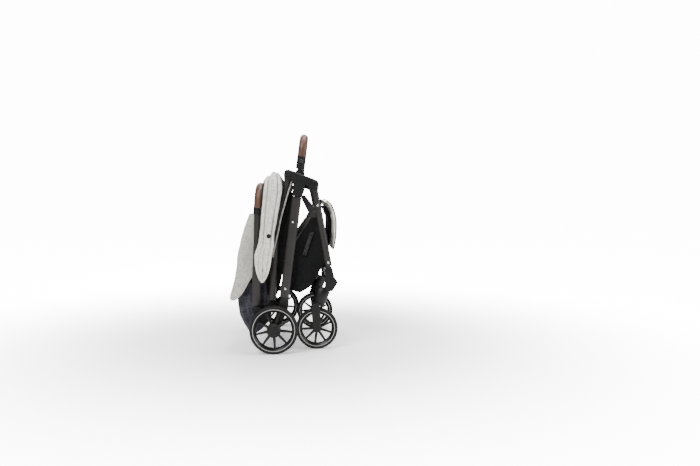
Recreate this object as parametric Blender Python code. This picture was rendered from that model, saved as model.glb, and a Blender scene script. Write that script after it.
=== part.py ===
"""A folding baby stroller, stored folded and standing on its four wheels.

+X is the front, +Y the child's left side, +Z up. The origin is on the floor, below the middle of the
bounding box. Shapes are drawn in millimetres in that frame and scaled to metres when they are made.
Names end in _L on the +Y side and _R on the -Y side.
"""

import math

import bmesh
import bpy
from mathutils import Matrix, Vector

MM = 0.001
GAP = 0.3

# Joint axes in the side view: x, z.
REAR_KNOB = (12.6, 520.6)
FRONT_KNOB = (88.2, 491.7)
KNEE = (-63.0, 98.0)
REAR_AXLE = (-30.0, 70.0)
FRONT_AXLE = (96.0, 62.0)
SEAT_PIVOT = (101.4, 402.0)
CALF_HINGE = (113.0, 447.0)
CANOPY_HUB = (-66.0, 235.0)
BRAKE_PIVOT = (-2.0, 128.0)
CASTER_BASE = (101.0, 140.0)
CASTER_TILT = math.radians(21)

# Layers across the frame: distances from the middle plane.
BLOCK_Y = (201.0, 215.0)
SOCKET_Y = (187.0, 214.4)
REAR_LEG_Y = 200.0
FRONT_LEG_Y = 191.0
LOWER_TUBE_Y = 190.5
UPPER_TUBE_Y = 191.0
KNUCKLE_Y = (181.0, BLOCK_Y[0] - GAP)
LOWER_KNEE_Y = (178.0, 189.6)
UPPER_KNEE_Y = (190.0, 206.0)
REAR_WHEEL_Y = 226.0
FRONT_WHEEL_Y = 163.0
SEAT_RAIL_Y = 172.0

# Sections.
REAR_WHEEL_R = 70.0
FRONT_WHEEL_R = 62.0
PIN_R = 4.0
PIN_HOLE_R = 4.3
AXLE_R = 5.0
AXLE_HOLE_R = 5.3
REAR_LEG = (13.5, 8.0)
FRONT_LEG = (9.5, 7.0)
LOWER_TUBE_R = 10.0
UPPER_TUBE_R = 13.0
GRIP_R = 15.0
BUMPER_R = 12.5
SEAT_RAIL_R = 6.0
BOW_R = 3.0
BUTTON_TRAVEL = 2.0
BOSS_HEIGHT = 0.6

SIDES = {"L": 1.0, "R": -1.0}
Y_AXIS = Vector((0.0, 1.0, 0.0))

FINISHES = {
    "dark_tube": ((0.072, 0.070, 0.068), 0.38, 0.7),
    "black_plastic": ((0.012, 0.012, 0.012), 0.5, 0.0),
    "rubber": ((0.016, 0.016, 0.016), 0.75, 0.0),
    "rim_plastic": ((0.020, 0.020, 0.020), 0.42, 0.0),
    "silver_ring": ((0.62, 0.62, 0.62), 0.25, 0.9),
    "steel": ((0.55, 0.55, 0.55), 0.3, 1.0),
    "brown_leatherette": ((0.155, 0.062, 0.040), 0.48, 0.0),
    "grey_fabric": ((0.62, 0.61, 0.57), 0.9, 0.0),
    "black_fabric": ((0.010, 0.010, 0.010), 0.95, 0.0),
    "grey_mesh": ((0.075, 0.070, 0.082), 0.85, 0.0),
}


# ---------------------------------------------------------------- bodies

def clear_scene():
    for old in list(bpy.data.objects):
        bpy.data.objects.remove(old)


def body_empty(name, parent, pivot):
    """An empty on a body's joint. Its parts hang on it, so turning it moves them all."""
    empty = bpy.data.objects.new("axis_" + name, None)
    bpy.context.scene.collection.objects.link(empty)
    start = Vector(pivot) * MM
    if parent:
        empty.parent = bodies[parent][0]
        empty.location = start - bodies[parent][1]
    else:
        empty.location = start
    bodies[name] = (empty, start)


def caster_axis():
    return Vector((math.sin(CASTER_TILT), 0.0, math.cos(CASTER_TILT)))


def make_bodies():
    body_empty("rear_frame", None, (0, 0, 0))
    body_empty("front_frame", "rear_frame", (FRONT_KNOB[0], 0, FRONT_KNOB[1]))
    body_empty("lower_push", "rear_frame", (REAR_KNOB[0], 0, REAR_KNOB[1]))
    body_empty("upper_push", "lower_push", (KNEE[0], 0, KNEE[1]))
    body_empty("canopy_middle", "upper_push", (CANOPY_HUB[0], 0, CANOPY_HUB[1]))
    body_empty("canopy_front", "canopy_middle", (CANOPY_HUB[0], 0, CANOPY_HUB[1]))
    body_empty("fold_trigger", "upper_push", (-50, 0, 474))
    body_empty("seat", "front_frame", (SEAT_PIVOT[0], 0, SEAT_PIVOT[1]))
    body_empty("buckle_button", "seat", (20, 0, 350))
    body_empty("calf_rest", "seat", (CALF_HINGE[0], 0, CALF_HINGE[1]))
    body_empty("bumper", "rear_frame", (45, 0, 535))
    body_empty("brake_pedal", "rear_frame", (BRAKE_PIVOT[0], 0, BRAKE_PIVOT[1]))
    for side, way in SIDES.items():
        body_empty("bumper_button_" + side, "bumper", (50, 204 * way, 560))
        body_empty("caster_" + side, "front_frame", (CASTER_BASE[0], FRONT_WHEEL_Y * way, CASTER_BASE[1]))
        body_empty("front_wheel_" + side, "caster_" + side, (FRONT_AXLE[0], FRONT_WHEEL_Y * way, FRONT_AXLE[1]))
        body_empty("rear_wheel_" + side, "rear_frame", (REAR_AXLE[0], REAR_WHEEL_Y * way, REAR_AXLE[1]))


# ---------------------------------------------------------------- making objects

def make_material(name):
    colour, roughness, metallic = FINISHES[name]
    material = bpy.data.materials.new(name)
    material.use_nodes = True
    shader = material.node_tree.nodes["Principled BSDF"]
    shader.inputs["Base Color"].default_value = (*colour, 1.0)
    shader.inputs["Roughness"].default_value = roughness
    shader.inputs["Metallic"].default_value = metallic
    return material


def add_part(name, shapes, finish, body, sharp=40):
    """One object from one shape or from several separate ones, hung on its body's empty."""
    mesh = bpy.data.meshes.new(name)
    whole = bmesh.new()
    for shape in shapes if isinstance(shapes, list) else [shapes]:
        piece = bpy.data.meshes.new("piece")
        bmesh.ops.recalc_face_normals(shape, faces=shape.faces)
        shape.to_mesh(piece)
        shape.free()
        whole.from_mesh(piece)
        bpy.data.meshes.remove(piece)
    whole.to_mesh(mesh)
    whole.free()
    empty, start = bodies[body]
    mesh.transform(Matrix.Translation(-start) @ Matrix.Scale(MM, 4))
    mesh.materials.append(materials[finish])
    mesh.shade_smooth()
    mesh.set_sharp_from_angle(angle=math.radians(sharp))
    part = bpy.data.objects.new(name, mesh)
    bpy.context.scene.collection.objects.link(part)
    part.parent = empty
    return part


def boolean(part, shape, operation):
    """Joins a shape to a part, or cuts it away, with a hidden helper object."""
    helper = add_part(part.name + "_helper", shape, "steel", part.parent.name[len("axis_"):])
    helper.hide_render = True
    helper.display_type = "WIRE"
    step = part.modifiers.new(operation.lower(), "BOOLEAN")
    step.operation = operation
    step.solver = "EXACT"
    step.object = helper


def join(part, shape):
    boolean(part, shape, "UNION")


def cut(part, shape):
    boolean(part, shape, "DIFFERENCE")


# ---------------------------------------------------------------- outlines and paths

def round_corners(points, steps=2):
    """An outline from corners (x, z, radius), each corner replaced by an arc of its radius."""
    outline = []
    count = len(points)
    for i in range(count):
        here = Vector(points[i][:2])
        back = (Vector(points[i - 1][:2]) - here).normalized()
        on = (Vector(points[(i + 1) % count][:2]) - here).normalized()
        half = back.angle(on) / 2
        radius = points[i][2]
        if radius <= 0:
            outline.append(tuple(here))
            continue
        centre = here + (back + on).normalized() * (radius / math.sin(half))
        first = here + back * (radius / math.tan(half)) - centre
        last = here + on * (radius / math.tan(half)) - centre
        sweep_angle = first.angle_signed(last)
        for k in range(steps + 1):
            turned = first.copy()
            turned.rotate(Matrix.Rotation(-sweep_angle * k / steps, 2))
            outline.append(tuple(centre + turned))
    return outline


def wrap_circles(circles, steps=12):
    """The outline of a belt round circles (x, z, radius): their convex hull."""
    points = []
    for x, z, r in circles:
        for k in range(steps):
            a = math.tau * k / steps
            points.append((x + r * math.cos(a), z + r * math.sin(a)))
    points.sort()

    def half(row):
        chain = []
        for p in row:
            while len(chain) > 1 and turn(chain[-2], chain[-1], p) <= 1e-9:
                chain.pop()
            chain.append(p)
        return chain[:-1]

    return half(points) + half(points[::-1])


def turn(a, b, c):
    return (b[0] - a[0]) * (c[1] - a[1]) - (b[1] - a[1]) * (c[0] - a[0])


def smooth_path(points, steps=3):
    """A Catmull-Rom curve through points (x, y, z)."""
    row = [Vector(p) for p in points]
    row = [2 * row[0] - row[1]] + row + [2 * row[-1] - row[-2]]
    path = []
    for a, b, c, d in zip(row, row[1:], row[2:], row[3:]):
        for k in range(steps):
            t = k / steps
            path.append(0.5 * (2 * b + (c - a) * t + (2 * a - 5 * b + 4 * c - d) * t ** 2
                               + (3 * b - a - 3 * c + d) * t ** 3))
    path.append(row[-2])
    return path


def hoop_path(foot, top, half_width, corner, steps=4):
    """A U across the frame: up from foot (x, z), round a corner, level across at top, and down again."""
    foot_y = Vector((foot[0], half_width, foot[1]))
    crest = Vector((top[0], half_width, top[1]))
    up = (crest - foot_y).normalized()
    centre = crest - up * corner - Y_AXIS * corner
    right = [foot_y]
    for k in range(steps + 1):
        a = math.pi / 2 * k / steps
        right.append(centre + Y_AXIS * corner * math.cos(a) + up * corner * math.sin(a))
    left = [Vector((p.x, -p.y, p.z)) for p in reversed(right)]
    return right + left


# ---------------------------------------------------------------- shapes

def plate(outline, low, high, bevel=1.2):
    """A plate with an outline in the side view, between two distances along Y, its rims rounded."""
    shape = bmesh.new()
    low, high = sorted((low, high))
    face = shape.faces.new([shape.verts.new((x, low, z)) for x, z in outline])
    grown = bmesh.ops.extrude_face_region(shape, geom=[face])
    tops = [v for v in grown["geom"] if isinstance(v, bmesh.types.BMVert)]
    bmesh.ops.translate(shape, verts=tops, vec=(0, high - low, 0))
    if bevel:
        rims = [e for e in shape.edges if abs(e.verts[0].co.y - e.verts[1].co.y) < 1e-6]
        bmesh.ops.bevel(shape, geom=rims, offset=bevel, segments=1, affect="EDGES", profile=0.5)
    return shape


def sweep(path, half_wide, half_deep, across=Y_AXIS, sides=10):
    """A bar of oval section along a path that lies in a plane square to across, its ends closed."""
    shape = bmesh.new()
    rings = []
    for i, point in enumerate(path):
        ahead = path[min(i + 1, len(path) - 1)] - path[max(i - 1, 0)]
        out = ahead.normalized().cross(across).normalized()
        bend = 1.0
        if 0 < i < len(path) - 1:
            corner = (path[i + 1] - point).angle(point - path[i - 1])
            bend = 1 / math.cos(corner / 2)
        ring = []
        for k in range(sides):
            a = math.tau * k / sides
            ring.append(shape.verts.new(point + out * (half_wide * bend * math.cos(a))
                                        + across * (half_deep * math.sin(a))))
        rings.append(ring)
    for near, far in zip(rings, rings[1:]):
        for k in range(sides):
            m = (k + 1) % sides
            shape.faces.new((near[k], near[m], far[m], far[k]))
    shape.faces.new(rings[0])
    shape.faces.new(rings[-1])
    return shape


def turned(profile, centre, steps=24, tilt=0.0):
    """A ring or disc turned about an axis along Y, or about the caster axis when tilted.

    The profile is a closed loop of (radius, distance along the axis) about centre.
    """
    shape = bmesh.new()
    rings = []
    for k in range(steps):
        a = math.tau * k / steps
        rings.append([shape.verts.new((r * math.cos(a), s, r * math.sin(a))) for r, s in profile])
    for k in range(steps):
        near = rings[k]
        far = rings[(k + 1) % steps]
        for i in range(len(profile)):
            j = (i + 1) % len(profile)
            shape.faces.new((near[i], near[j], far[j], far[i]))
    bmesh.ops.remove_doubles(shape, verts=shape.verts, dist=1e-4)
    bmesh.ops.dissolve_degenerate(shape, edges=shape.edges, dist=1e-4)
    if tilt:
        shape.transform(Matrix.Rotation(tilt, 4, "Y") @ Matrix.Rotation(math.pi / 2, 4, "X"))
    shape.transform(Matrix.Translation(Vector(centre)))
    return shape


def disc(radius, low, high, x, z, edge=0.8, steps=14):
    """A round cap or pin along Y, between two distances along Y, its rims rounded."""
    low, high = sorted((low, high))
    profile = [(0, low), (radius - edge, low), (radius, low + edge), (radius, high - edge),
               (radius - edge, high), (0, high)]
    return turned(profile, (x, 0, z), steps)


def drill(part, radius, x, z, low, high):
    cut(part, disc(radius, low, high, x, z, edge=0.01, steps=14))


def slab(path, thick, half_width, round_edge=1.0):
    """A pad across the frame: a band of even thickness along a side-view path (x, z)."""
    line = [Vector((x, z)) for x, z in path]
    near = []
    far = []
    for i, point in enumerate(line):
        ahead = (line[min(i + 1, len(line) - 1)] - line[max(i - 1, 0)]).normalized()
        out = Vector((-ahead.y, ahead.x)) * (thick / 2)
        near.append(tuple(point + out))
        far.append(tuple(point - out))
    return plate(near + far[::-1], -half_width, half_width, round_edge)


def flat_curve(points, steps=3):
    """A smooth side-view path (x, z) through points (x, z)."""
    return [(p.x, p.z) for p in smooth_path([(x, 0, z) for x, z in points], steps)]


# ---------------------------------------------------------------- rear frame, the root

def rear_leg_path(way):
    return [Vector((37.2, REAR_LEG_Y * way, 453.6)), Vector((0.0, REAR_LEG_Y * way, 160.6))]


def make_rear_frame():
    bar = wrap_circles([(*REAR_KNOB, 12.5), (*FRONT_KNOB, 12.5)])
    socket = round_corners([(24.6, 456, 3), (51.5, 456, 3), (62, 482, 5), (58, 509, 5), (30, 520, 5),
                            (27, 485, 6)])
    seat_of_bumper = wrap_circles([(45.5, 512, 14.5), (46.5, 521, 14)])
    bracket = wrap_circles([(-0.6, 146.5, 13.6), (-2, 128, 12.5)])
    heel = wrap_circles([(-2, 128, 12.5), (*REAR_AXLE, 13)])
    middle = (Vector(REAR_KNOB) + Vector(FRONT_KNOB)) / 2
    along = (Vector(FRONT_KNOB) - Vector(REAR_KNOB)).normalized()
    boss = [tuple(middle + along * x + along.orthogonal() * z) for x, z in ((15, 7), (-15, 7), (-15, -7), (15, -7))]
    for side, way in SIDES.items():
        block = add_part("hinge_block_" + side, plate(bar, BLOCK_Y[0] * way, BLOCK_Y[1] * way, 2.5),
                         "black_plastic", "rear_frame")
        join(block, plate(boss, (BLOCK_Y[1] - 4) * way, (BLOCK_Y[1] + BOSS_HEIGHT) * way, 0))
        join(block, plate(socket, SOCKET_Y[0] * way, SOCKET_Y[1] * way, 2))
        join(block, plate(seat_of_bumper, 179.5 * way, 203.5 * way, 2))
        for knob in (REAR_KNOB, FRONT_KNOB):
            join(block, disc(PIN_R, 182 * way, 210 * way, *knob))
            join(block, disc(9, 214 * way, 218 * way, *knob, edge=1.2))
        add_part("rear_leg_" + side, sweep(rear_leg_path(way), *REAR_LEG, sides=12), "dark_tube", "rear_frame")
        foot = add_part("rear_bracket_" + side, plate(bracket, 190 * way, 210 * way, 2), "black_plastic",
                        "rear_frame")
        join(foot, plate(heel, 190.6 * way, 209.4 * way, 2))
        drill(foot, AXLE_HOLE_R, *REAR_AXLE, 180 * way, 220 * way)
    axle_end = 236.9
    add_part("rear_axle", disc(AXLE_R, -axle_end, axle_end, *REAR_AXLE), "steel", "rear_frame")
    crossbar_end = 190 - GAP
    add_part("rear_crossbar", disc(8, -crossbar_end, crossbar_end, *BRAKE_PIVOT), "dark_tube", "rear_frame")
    basket = round_corners([(15, 256, 8), (64, 332, 8), (104, 322, 10), (110, 232, 12), (88, 196, 12),
                            (30, 206, 14), (14, 232, 10)])
    add_part("basket", plate(basket, -158, 158, 6), "black_fabric", "rear_frame")


# ---------------------------------------------------------------- front frame and casters

def make_front_frame():
    knuckle = wrap_circles([(*FRONT_KNOB, 13), (89.6, 478, 10.5)])
    socket = wrap_circles([(131.6, 241, 9.6), (134, 206, 16)])
    spike = round_corners([(124, 232, 6), (140, 228, 6), (157, 203, 4), (141, 176, 8), (118, 178, 8)])
    for side, way in SIDES.items():
        leg_y = FRONT_LEG_Y * way
        leg = add_part("front_leg_" + side,
                       sweep([Vector((88.4, leg_y, 480)), Vector((130.9, leg_y, 251))], *FRONT_LEG, sides=12),
                       "dark_tube", "front_frame")
        join(leg, plate(knuckle, KNUCKLE_Y[0] * way, KNUCKLE_Y[1] * way, 2))
        drill(leg, PIN_HOLE_R, *FRONT_KNOB, 175 * way, 205 * way)
        drill(leg, PIN_HOLE_R, *SEAT_PIVOT, 175 * way, 194 * way)
        holder = add_part("caster_socket_" + side, plate(socket, 181 * way, 201 * way, 2), "black_plastic",
                          "front_frame")
        join(holder, plate(spike, 165 * way, 200.4 * way, 2))
        housing = [(0, 0), (19, 0), (21, 3), (21, 41), (17, 46), (0, 46)]
        join(holder, turned(housing, (CASTER_BASE[0], FRONT_WHEEL_Y * way, CASTER_BASE[1]), 20, CASTER_TILT))
        make_caster(side, way)
    bar_end = 165 - GAP
    add_part("footrest_bar", disc(8, -bar_end, bar_end, 134, 206), "dark_tube", "front_frame")


def make_caster(side, way):
    base = Vector((CASTER_BASE[0], FRONT_WHEEL_Y * way, CASTER_BASE[1])) - caster_axis() * 8
    crown = [(0, 0), (18.5, 0), (20, 1.5), (20, 7.2), (0, 7.2)]
    fork = add_part("caster_fork_" + side, turned(crown, base, 20, CASTER_TILT), "black_plastic",
                    "caster_" + side)
    blade = wrap_circles([(91.5, 124, 13.5), (*FRONT_AXLE, 11)])
    join(fork, plate(blade, 175.6 * way, 184 * way, 1.5))
    join(fork, disc(PIN_R, 151 * way, 180 * way, *FRONT_AXLE))


# ---------------------------------------------------------------- wheels

def tyre_profile(radius, half):
    inner = radius - 9.5
    return [(inner, -half + 2), (radius - 6, -half), (radius - 1.8, -half + 3), (radius, -half + 7),
            (radius, half - 7), (radius - 1.8, half - 3), (radius - 6, half), (inner, half - 2)]


def make_wheel(name, body, radius, centre_y, axle, half, bore, hub, way):
    """A tyre on a rim with nine spokes."""
    x, z = axle
    middle = (x, centre_y * way, z)
    add_part("tyre_" + name, turned(tyre_profile(radius, half), middle, 28), "rubber", body)
    seat = radius - 9.5 - 0.8
    window = radius - 19
    rim = [(bore, -half + 1), (hub, -half + 1), (window, -3.5), (seat, -half + 3), (seat, half - 3),
           (window, 3.5), (hub, half - 1), (bore, half - 1)]
    part = add_part("rim_" + name, turned(rim, middle, 18), "rim_plastic", body)
    windows = []
    for k in range(9):
        mid = math.tau * (k + 0.5) / 9
        near = mid - math.pi / 9 + 3.2 / window
        far = mid + math.pi / 9 - 3.2 / window
        near_hub = mid - math.pi / 9 + 4.2 / (hub + 2)
        far_hub = mid + math.pi / 9 - 4.2 / (hub + 2)
        corners = [(near_hub, hub + 2), (near, window - 1), (far, window - 1), (far_hub, hub + 2)]
        outline = [(x + r * math.cos(a), z + r * math.sin(a)) for a, r in corners]
        windows.append(plate(outline, (centre_y - half - 2) * way, (centre_y + half + 2) * way, 0))
    cut(part, windows)


def make_wheels():
    for side, way in SIDES.items():
        make_wheel("rear_" + side, "rear_wheel_" + side, REAR_WHEEL_R, REAR_WHEEL_Y, REAR_AXLE, 12,
                   AXLE_HOLE_R, 19, way)
        hub_face = REAR_WHEEL_Y + 11 + GAP
        add_part("hub_cap_" + side, disc(20.5, hub_face * way, (hub_face + 3.2) * way, *REAR_AXLE, edge=1.5,
                                         steps=20), "black_plastic", "rear_wheel_" + side)
        make_wheel("front_" + side, "front_wheel_" + side, FRONT_WHEEL_R, FRONT_WHEEL_Y, FRONT_AXLE, 11,
                   PIN_HOLE_R, 11, way)


# ---------------------------------------------------------------- push frame

def make_push_frame():
    lower = [(12.6, 508), (3.5, 470), (-11, 425), (-21, 380), (-26, 338), (-27, 296), (-29, 262), (-36.2, 152)]
    upper = [(-81.4, 138), (-80.7, 226), (-76, 314), (-74.2, 403.5)]
    top_knuckle = wrap_circles([(*REAR_KNOB, 13), (11.4, 506, 11)])
    low_knee = wrap_circles([(-37.5, 138, 11), (*KNEE, 15)])
    high_knee = wrap_circles([(*KNEE, 15), (-81.4, 122.5, 13)])
    for side, way in SIDES.items():
        path = smooth_path([(x, LOWER_TUBE_Y * way, z) for x, z in lower], 2)
        tube = add_part("lower_tube_" + side, sweep(path, LOWER_TUBE_R, 9.2), "dark_tube", "lower_push")
        join(tube, plate(top_knuckle, KNUCKLE_Y[0] * way, KNUCKLE_Y[1] * way, 2))
        drill(tube, PIN_HOLE_R, *REAR_KNOB, 175 * way, 205 * way)
        path = smooth_path([(x, UPPER_TUBE_Y * way, z) for x, z in upper], 2)
        add_part("upper_tube_" + side, sweep(path, UPPER_TUBE_R, 12.5, sides=12), "dark_tube", "upper_push")
        knee = add_part("lower_knee_" + side, plate(low_knee, LOWER_KNEE_Y[0] * way, LOWER_KNEE_Y[1] * way, 1.5),
                        "black_plastic", "lower_push")
        join(knee, disc(PIN_R, 184 * way, 208 * way, *KNEE))
        knee = add_part("upper_knee_" + side, plate(high_knee, UPPER_KNEE_Y[0] * way, UPPER_KNEE_Y[1] * way, 1.5),
                        "black_plastic", "upper_push")
        drill(knee, PIN_HOLE_R, *KNEE, 185 * way, 212 * way)
    backrest = flat_curve([(-33, 468), (-43, 400), (-50, 330), (-51, 262), (-54, 186)])
    add_part("backrest", slab(backrest, 14, 168, 3), "black_fabric", "lower_push")


def make_handle():
    for side, way in SIDES.items():
        foot = Vector((-74.1, UPPER_TUBE_Y * way, 404))
        add_part("grip_collar_" + side, sweep([foot, foot + Vector((1.0, 0, 18.6))], 15.4, 15.0, sides=12),
                 "black_plastic", "upper_push")
    path = hoop_path((-73.0, 423), (-68.6, 482), UPPER_TUBE_Y, 42)
    lean = Vector((-68.6 + 73.0, 0, 482 - 423)).normalized()
    add_part("handle_grip", sweep(path, GRIP_R, GRIP_R, lean.cross(Y_AXIS), 12), "brown_leatherette",
             "upper_push")
    trigger = round_corners([(-49, 471, 2), (-43, 471, 2), (-41.5, 479, 3), (-43, 487, 2), (-49, 487, 2)])
    add_part("fold_trigger", plate(trigger, -34, 34, 1.5), "black_plastic", "fold_trigger")


# ---------------------------------------------------------------- canopy and rear covers

def bow(foot, top, half_width):
    lean = Vector((top[0] - foot[0], 0, top[1] - foot[1])).normalized()
    return sweep(hoop_path(foot, top, half_width, 55), BOW_R, BOW_R, lean.cross(Y_AXIS), 6)


def hub_ring(half_width, way):
    """The eye at a bow's end, turning on the hub."""
    half = BOW_R - 0.7
    return disc(8, (half_width - half) * way, (half_width + half) * way, *CANOPY_HUB, edge=0.6, steps=10)


def make_canopy():
    inner = 209.8
    outer = 216.2
    for side, way in SIDES.items():
        hub = [(0, 204.2), (11, 204.2), (11, 206.4), (PIN_R, 206.4), (PIN_R, 220), (0, 220)]
        add_part("canopy_hub_" + side, turned([(r, s * way) for r, s in hub], (CANOPY_HUB[0], 0, CANOPY_HUB[1]), 14),
                 "black_plastic", "upper_push")
    add_part("canopy_rear_bow", bow((-76, 300), (-57, 504), inner), "black_plastic", "upper_push")
    for name, top, half_width in (("middle", (-43, 512), inner), ("front", (-26, 522), outer)):
        body = "canopy_" + name
        part = add_part("canopy_" + name + "_bow", bow((-65.4, 241.5), top, half_width), "black_plastic", body)
        join(part, [hub_ring(half_width, way) for way in SIDES.values()])
        cut(part, [disc(PIN_HOLE_R, 203 * way, 222 * way, *CANOPY_HUB, edge=0.01, steps=14)
                   for way in SIDES.values()])
    rear_side = round_corners([(-84, 300, 8), (-74, 254, 0), (-68, 262, 0), (-49, 508, 0), (-54, 508, 0)])
    cover = add_part("canopy_cover_rear", plate(rear_side, 213.2, 218.8, 1), "grey_fabric", "upper_push")
    join(cover, plate(rear_side, -218.8, -213.2, 1))
    rear_top = [(-52.6, 499), (-48.9, 499), (-48.9, 521), (-52.6, 516)]
    join(cover, plate(rear_top, -218.4, 218.4, 1))
    front_side = round_corners([(-44, 300, 4), (-36, 300, 4), (-29, 344, 6), (-9, 476, 4), (-10, 505, 3),
                                (-22, 505, 1)])
    cover = add_part("canopy_cover_front", plate(front_side, 206.8, 218.8, 1.5), "grey_fabric", "canopy_front")
    join(cover, plate(front_side, -218.8, -206.8, 1.5))
    front_top = round_corners([(-19.5, 492, 1.5), (-11, 492, 1.5), (-10, 526, 3), (-19, 530, 3)])
    join(cover, plate(front_top, -218.4, 218.4, 1))
    flap = flat_curve([(-92, 408), (-110, 368), (-126, 322), (-142, 255), (-151.5, 190), (-155, 156)])
    add_part("back_flap", slab(flap, 6, 172, 1.5), "grey_fabric", "upper_push")
    mesh = flat_curve([(-124, 205), (-133, 160), (-129, 105), (-104, 54)])
    add_part("rear_mesh_panel", slab(mesh, 7, 166, 1.5), "grey_mesh", "upper_push")


# ---------------------------------------------------------------- seat, calf rest and bumper bar

def key_outline(base, slope, normal, start, length, low, high):
    """A rectangle (x, z) on the buckle: start and length along the seat, low and high above its base."""
    corners = ((start, low), (start + length, low), (start + length, high), (start, high))
    spots = [base + slope * along - normal * up for along, up in corners]
    return [(p.x, p.z) for p in spots]


def make_seat():
    slope = Vector((CALF_HINGE[0] + 18.0, 0, CALF_HINGE[1] - 252.0)).normalized()
    normal = Y_AXIS.cross(slope)
    front = Vector((CALF_HINGE[0] - 1, 0, CALF_HINGE[1] - 1.5))
    rear = front - slope * 233
    right = [front + Y_AXIS * SEAT_RAIL_Y, rear + slope * 30 + Y_AXIS * SEAT_RAIL_Y]
    for k in range(1, 4):
        a = math.pi / 2 * k / 3
        right.append(rear + slope * (30 - 30 * math.sin(a)) + Y_AXIS * (SEAT_RAIL_Y - 30 + 30 * math.cos(a)))
    left = [Vector((p.x, -p.y, p.z)) for p in reversed(right)]
    frame = add_part("seat_frame", sweep(right + left, SEAT_RAIL_R, SEAT_RAIL_R, normal, 8), "dark_tube", "seat")
    ear = wrap_circles([(84, 402, 9), (*SEAT_PIVOT, 8.5)])
    arm = round_corners([(78, 396, 3), (92, 400, 4), (88, 424, 6), (58, 464, 5), (50, 452, 5)])
    for way in SIDES.values():
        join(frame, plate(ear, 170 * way, 183.7 * way, 1.2))
        join(frame, plate(arm, 168 * way, 177.4 * way, 1.2))
        join(frame, disc(PIN_R, 178 * way, 192 * way, *SEAT_PIVOT))
    drop = normal * 3
    pad_front = front - slope * 14 + drop
    pad_rear = rear + slope * 26 + drop
    add_part("seat_pad", slab([(pad_front.x, pad_front.z), (pad_rear.x, pad_rear.z)], 13, 161, 3),
             "black_fabric", "seat")
    base = front - slope * 150 - normal * 4
    buckle = [base, base + slope * 34, base + slope * 34 - normal * 14, base - normal * 14]
    part = add_part("buckle", plate(round_corners([(p.x, p.z, 3) for p in buckle]), -21, 21, 2), "black_plastic",
                    "seat")
    pocket = key_outline(base, slope, normal, 9 - GAP, 16 + 2 * GAP, 9, 20)
    cut(part, [plate(pocket, -9 - GAP, 9 + GAP, 0.01)])
    button = key_outline(base, slope, normal, 9, 16, 9 + BUTTON_TRAVEL + GAP, 15)
    add_part("buckle_button", plate(button, -9, 9, 0.8), "silver_ring", "buckle_button")
    calf = flat_curve([(121, 437), (137, 421), (147, 385), (145, 335), (135, 290)])
    add_part("calf_rest", slab(calf, 17, 158, 4), "grey_fabric", "calf_rest")


def make_bumper():
    foot = Vector((46.9, 0, 536.3))
    top = Vector((59.2, 0, 627.5))
    lean = (top - foot).normalized()
    split = foot + lean * 37
    button = foot + lean * 21
    for side, way in SIDES.items():
        part = add_part("bumper_arm_" + side,
                        sweep([foot + Y_AXIS * 191 * way, split + Y_AXIS * 191 * way], BUMPER_R, 12, sides=12),
                        "black_plastic", "bumper")
        cut(part, disc(6.4, 196 * way, 210 * way, button.x, button.z, edge=0.01, steps=14))
        add_part("bumper_button_" + side, disc(6, 199.5 * way, 205.5 * way, button.x, button.z, 1.2, 12),
                 "black_plastic", "bumper_button_" + side)
    start = split + lean * GAP
    path = hoop_path((start.x, start.z), (top.x, top.z), 191, 40)
    add_part("bumper_grip", sweep(path, BUMPER_R, 12.5, lean.cross(Y_AXIS), 12), "brown_leatherette", "bumper")


def make_brake():
    pedal = wrap_circles([(*BRAKE_PIVOT, 12), (-38, 113, 6)])
    part = add_part("brake_pedal", plate(pedal, -34, 34, 2), "black_plastic", "brake_pedal")
    drill(part, 8.3, *BRAKE_PIVOT, -60, 60)


bodies = {}
clear_scene()
materials = {name: make_material(name) for name in FINISHES}
make_bodies()
make_rear_frame()
make_front_frame()
make_wheels()
make_push_frame()
make_handle()
make_canopy()
make_seat()
make_bumper()
make_brake()
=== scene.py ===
import math
import bmesh
import bpy
import numpy as np
from mathutils import Matrix, Vector, noise


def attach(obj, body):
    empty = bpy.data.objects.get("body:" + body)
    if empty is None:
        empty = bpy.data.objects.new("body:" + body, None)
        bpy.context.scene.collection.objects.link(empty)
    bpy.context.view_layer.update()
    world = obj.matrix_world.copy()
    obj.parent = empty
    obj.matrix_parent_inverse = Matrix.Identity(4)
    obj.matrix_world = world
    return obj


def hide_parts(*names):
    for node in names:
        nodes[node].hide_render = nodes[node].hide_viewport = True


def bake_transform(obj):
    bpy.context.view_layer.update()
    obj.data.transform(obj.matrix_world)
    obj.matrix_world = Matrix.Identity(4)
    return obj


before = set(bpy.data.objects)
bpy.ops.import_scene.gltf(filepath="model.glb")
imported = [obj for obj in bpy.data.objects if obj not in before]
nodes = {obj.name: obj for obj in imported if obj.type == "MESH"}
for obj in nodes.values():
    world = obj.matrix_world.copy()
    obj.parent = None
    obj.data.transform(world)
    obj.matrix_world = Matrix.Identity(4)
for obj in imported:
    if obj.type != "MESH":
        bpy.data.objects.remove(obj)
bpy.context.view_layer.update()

# ---------------------------------------------------------------- frame tubes
# Extruded aluminium tubes of flat oval section, powder coated in anthracite. The coat is sprayed dry and
# baked, which leaves a very fine orange peel and a satin shine. Black nylon joints are riveted on later.

MM = 0.001
SIDES = {"L": 1.0, "R": -1.0}


def linear(code):
    """An sRGB colour such as #a0b1c2 as linear RGBA."""
    parts = [int(code[i:i + 2], 16) / 255 for i in (1, 3, 5)]
    return (*[c / 12.92 if c <= 0.04045 else ((c + 0.055) / 1.055) ** 2.4 for c in parts], 1.0)


def add_node(tree, kind, sockets=None, **settings):
    """Adds one node. sockets gives an input, by name or number, its value or the output that feeds it."""
    made = tree.nodes.new(kind)
    for key, value in settings.items():
        setattr(made, key, value)
    for key, value in (sockets or {}).items():
        if isinstance(value, bpy.types.NodeSocket):
            tree.links.new(value, made.inputs[key])
        else:
            made.inputs[key].default_value = value
    return made


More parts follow.
